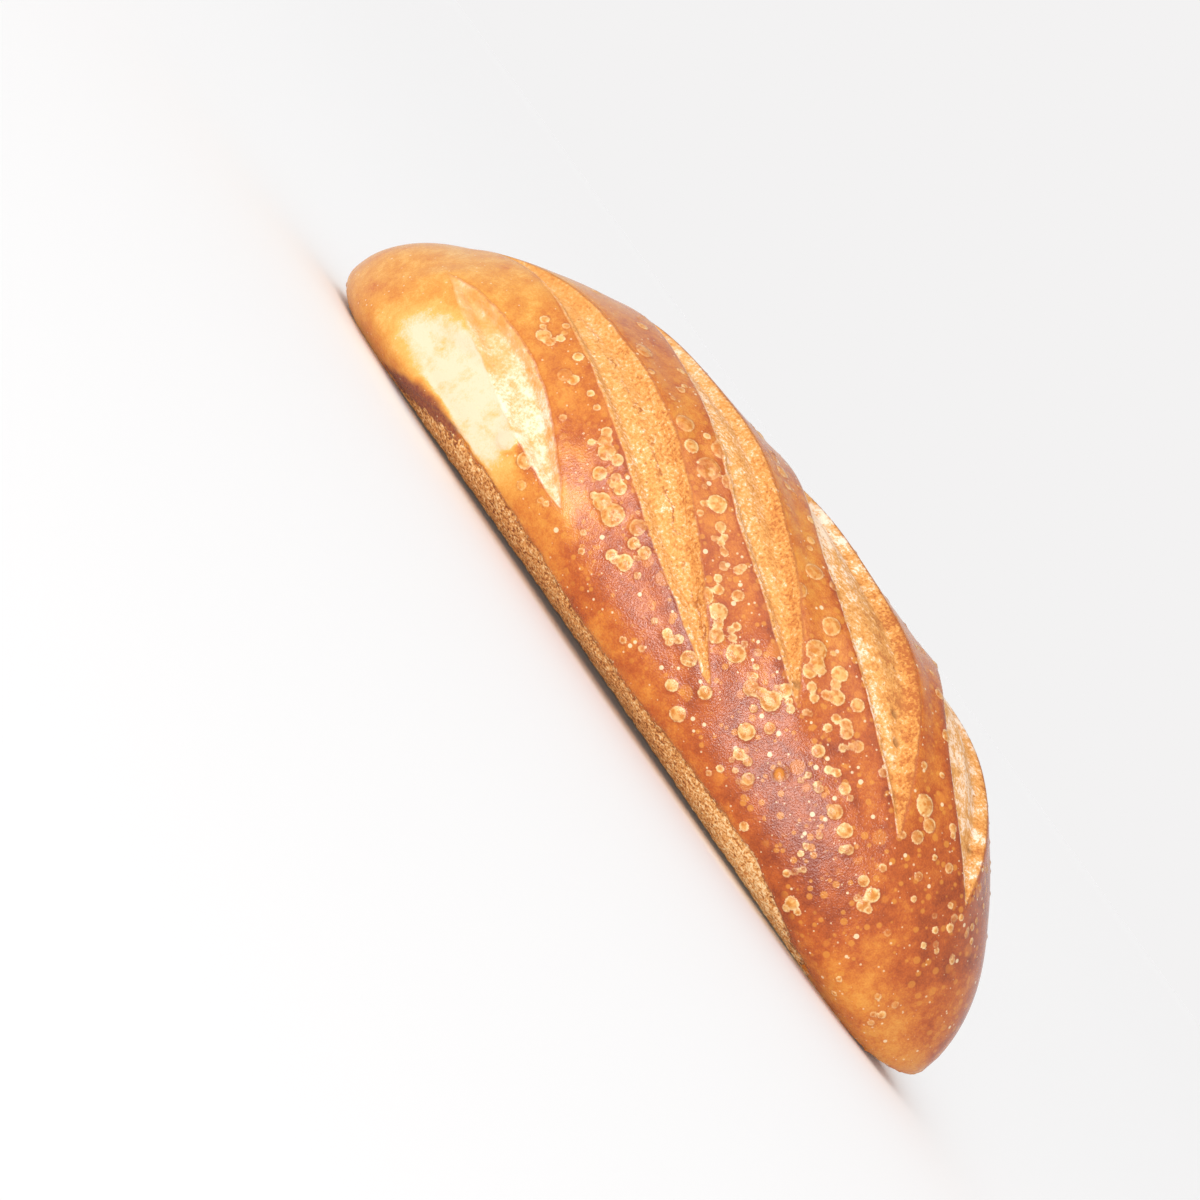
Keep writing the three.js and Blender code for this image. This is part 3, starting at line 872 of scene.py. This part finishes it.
# Open cells, then the base skin below the crease.
in_cell = add(tree, "MapRange", {"From Max": 0.7, "To Max": 0.7}, {"Value": stored["open_cell"]})
cell_colour = add(tree, "Mix", {"data_type": "RGBA", 6: linear(POPPED), 7: linear(OPEN_CELL)},
                  {0: inside_cut.outputs["Result"]})
celled = add(tree, "Mix", {"data_type": "RGBA"},
             {0: in_cell.outputs["Result"], 6: edged.outputs[2], 7: cell_colour.outputs[2]})
along_loaf = add(tree, "SeparateXYZ", {}, {"Vector": place})
# Painted light: the base skin is painted paler towards the near end, where it turns under into
# shade.
skin_near_end_lift = add(tree, "MapRange",
                {"From Min": BASE_LIFT_FROM, "From Max": BASE_LIFT_TO,
                 "To Min": -0.015, "To Max": 0.05},
                {"Value": along_loaf.outputs["X"]})
skin_flakes = add(tree, "Math", {"operation": "MULTIPLY_ADD", 1: 0.5},
                  {0: blotched.outputs["Result"], 2: skin_near_end_lift.outputs["Result"]})
skin_grain = add(tree, "Math", {"operation": "ADD"},
                 {0: grain.outputs["Fac"], 1: skin_flakes.outputs["Value"]})
skin_colour = add(tree, "ValToRGB", {"stops": BASE_SKIN}, {"Fac": skin_grain.outputs["Value"]})
flaky = add(tree, "MapRange",
            {**NOISE_SPAN, "To Min": -CREASE_FLAKES_MM, "To Max": CREASE_FLAKES_MM},
            {"Value": blotch.outputs["Fac"]})
flaky_crease = add(tree, "Math", {"operation": "ADD"},
                   {0: stored["above_crease"], 1: flaky.outputs["Result"]})
on_skin = add(tree, "MapRange", {"From Min": -0.3, "From Max": 0.2, "To Min": 1.0, "To Max": 0.0},
              {"Value": flaky_crease.outputs["Value"]})
skinned = add(tree, "Mix", {"data_type": "RGBA"},
              {0: on_skin.outputs["Result"], 6: celled.outputs[2], 7: skin_colour.outputs["Color"]})
seam_share = add(tree, "MapRange", EDGE_SPAN, {"Value": flaky_crease.outputs["Value"]})
seam = add(tree, "ValToRGB", {"stops": [(0.3, 0.0), (0.45, 0.75), (0.55, 0.0)]},
           {"Fac": seam_share.outputs["Result"]})
seam_here = add(tree, "Math", {"operation": "MULTIPLY"},
                {0: seam.outputs["Color"], 1: rim_breaks.outputs["Result"]})
whole_colour = add(tree, "Mix", {"data_type": "RGBA", 7: linear(SEAM)},
                   {0: seam_here.outputs["Value"], 6: skinned.outputs[2]})
tree.links.new(whole_colour.outputs[2], shader.inputs["Base Color"])

# Gloss: satin crust, dull cuts, duller base.
dull_cut = add(tree, "Mix", {"data_type": "FLOAT", 2: CRUST_ROUGHNESS, 3: CUT_ROUGHNESS},
               {0: inside_cut.outputs["Result"]})
dull = add(tree, "Mix", {"data_type": "FLOAT", 3: BASE_ROUGHNESS},
           {0: on_skin.outputs["Result"], 2: dull_cut.outputs[0]})
tree.links.new(dull.outputs[0], shader.inputs["Roughness"])

# Height of the fine relief in millimetres.
peel_height = add(tree, "Math", {"operation": "MULTIPLY", 1: PEEL_HEIGHT_MM},
                  {0: leather.outputs["Fac"]})
cut_height = add(tree, "Math", {"operation": "MULTIPLY", 1: PORE_HEIGHT_MM},
                 {0: pores.outputs["Fac"]})
grain_height = add(tree, "Math", {"operation": "MULTIPLY", 1: GRAIN_HEIGHT_MM},
                   {0: grain.outputs["Fac"]})
height_cut = add(tree, "Mix", {"data_type": "FLOAT"},
                 {0: inside_cut.outputs["Result"], 2: peel_height.outputs["Value"],
                  3: cut_height.outputs["Value"]})
height = add(tree, "Mix", {"data_type": "FLOAT"},
             {0: on_skin.outputs["Result"], 2: height_cut.outputs[0],
              3: grain_height.outputs["Value"]})
raised = add(tree, "Math", {"operation": "MULTIPLY_ADD", 1: BLISTER_SKIN_MM},
             {0: dome_pale.outputs["Value"], 2: height.outputs[0]})
bump = add(tree, "Bump", {"Strength": 1.0, "Distance": 1 / MM_PER_METRE},
           {"Height": raised.outputs["Value"]})
tree.links.new(bump.outputs["Normal"], shader.inputs["Normal"])
loaf.data.materials.append(crust)

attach(loaf, "root")
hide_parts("loaf")
